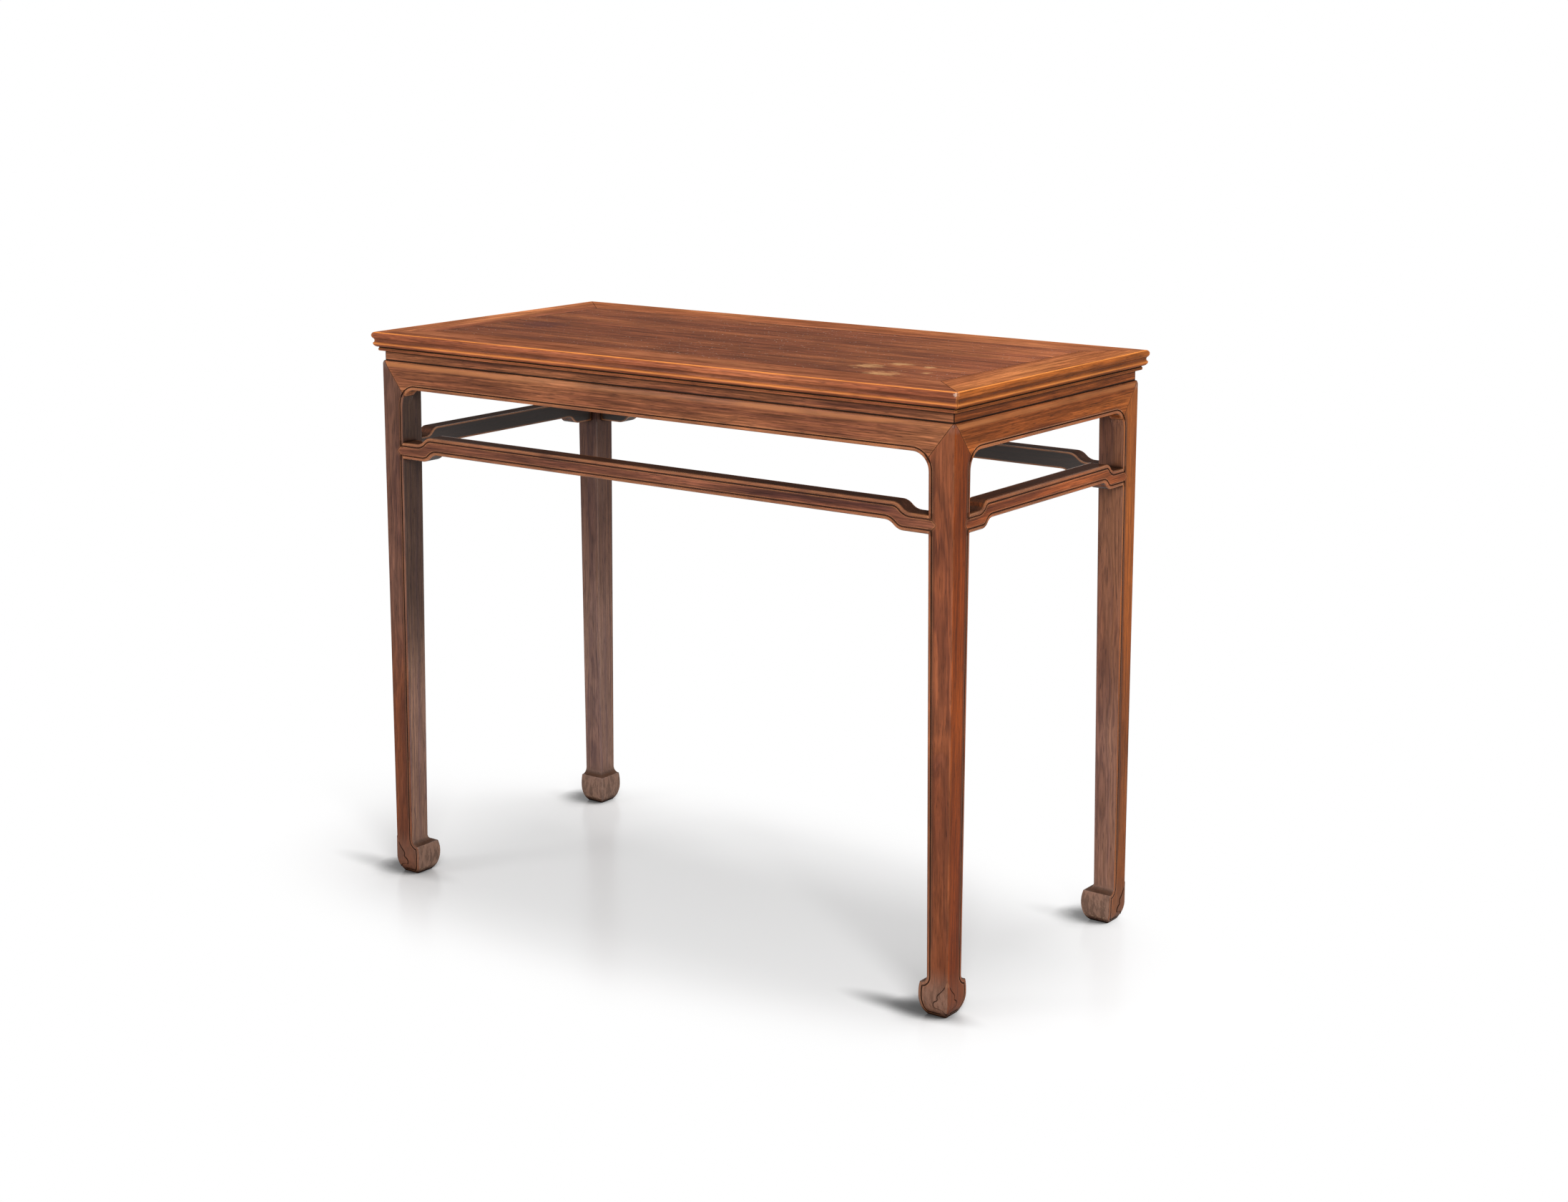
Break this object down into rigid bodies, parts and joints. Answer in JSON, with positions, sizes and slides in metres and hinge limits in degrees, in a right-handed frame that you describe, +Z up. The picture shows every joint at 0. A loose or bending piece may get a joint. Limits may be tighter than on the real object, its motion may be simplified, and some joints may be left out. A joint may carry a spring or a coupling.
{
  "type": "side table",
  "caption": "Waisted hardwood side table: floating-panel top in a moulded mitred frame, beaded aprons, humpback stretchers and inward-curving hoof feet.",
  "frame": {"origin": "on the floor, under the middle of the top", "axes": "+X along the length of the table, +Y towards the back, +Z up"},
  "size_m": [1.044, 0.51, 0.85],
  "materials": {
    "frame_wood": "waxed dense hardwood, reddish brown with dark grain, rubbed orange along edges and beads",
    "panel_wood": "waxed dense hardwood board, reddish brown, worn and spotted",
    "brace_wood": "dark lacquered underside wood"
  },
  "bodies": {
    "root": {"apron_back": "frame_wood", "apron_front": "frame_wood", "apron_left": "frame_wood", "apron_right": "frame_wood", "leg_back_left": "frame_wood", "leg_back_right": "frame_wood", "leg_front_left": "frame_wood", "leg_front_right": "frame_wood", "panel_brace_left": "brace_wood", "panel_brace_middle": "brace_wood", "panel_brace_right": "brace_wood", "stretcher_back": "frame_wood", "stretcher_front": "frame_wood", "stretcher_left": "frame_wood", "stretcher_right": "frame_wood", "top_frame_back": "frame_wood", "top_frame_front": "frame_wood", "top_frame_left": "frame_wood", "top_frame_right": "frame_wood", "top_panel": "panel_wood", "waist_back": "frame_wood", "waist_front": "frame_wood", "waist_left": "frame_wood", "waist_right": "frame_wood"}
  },
  "joints": []
}
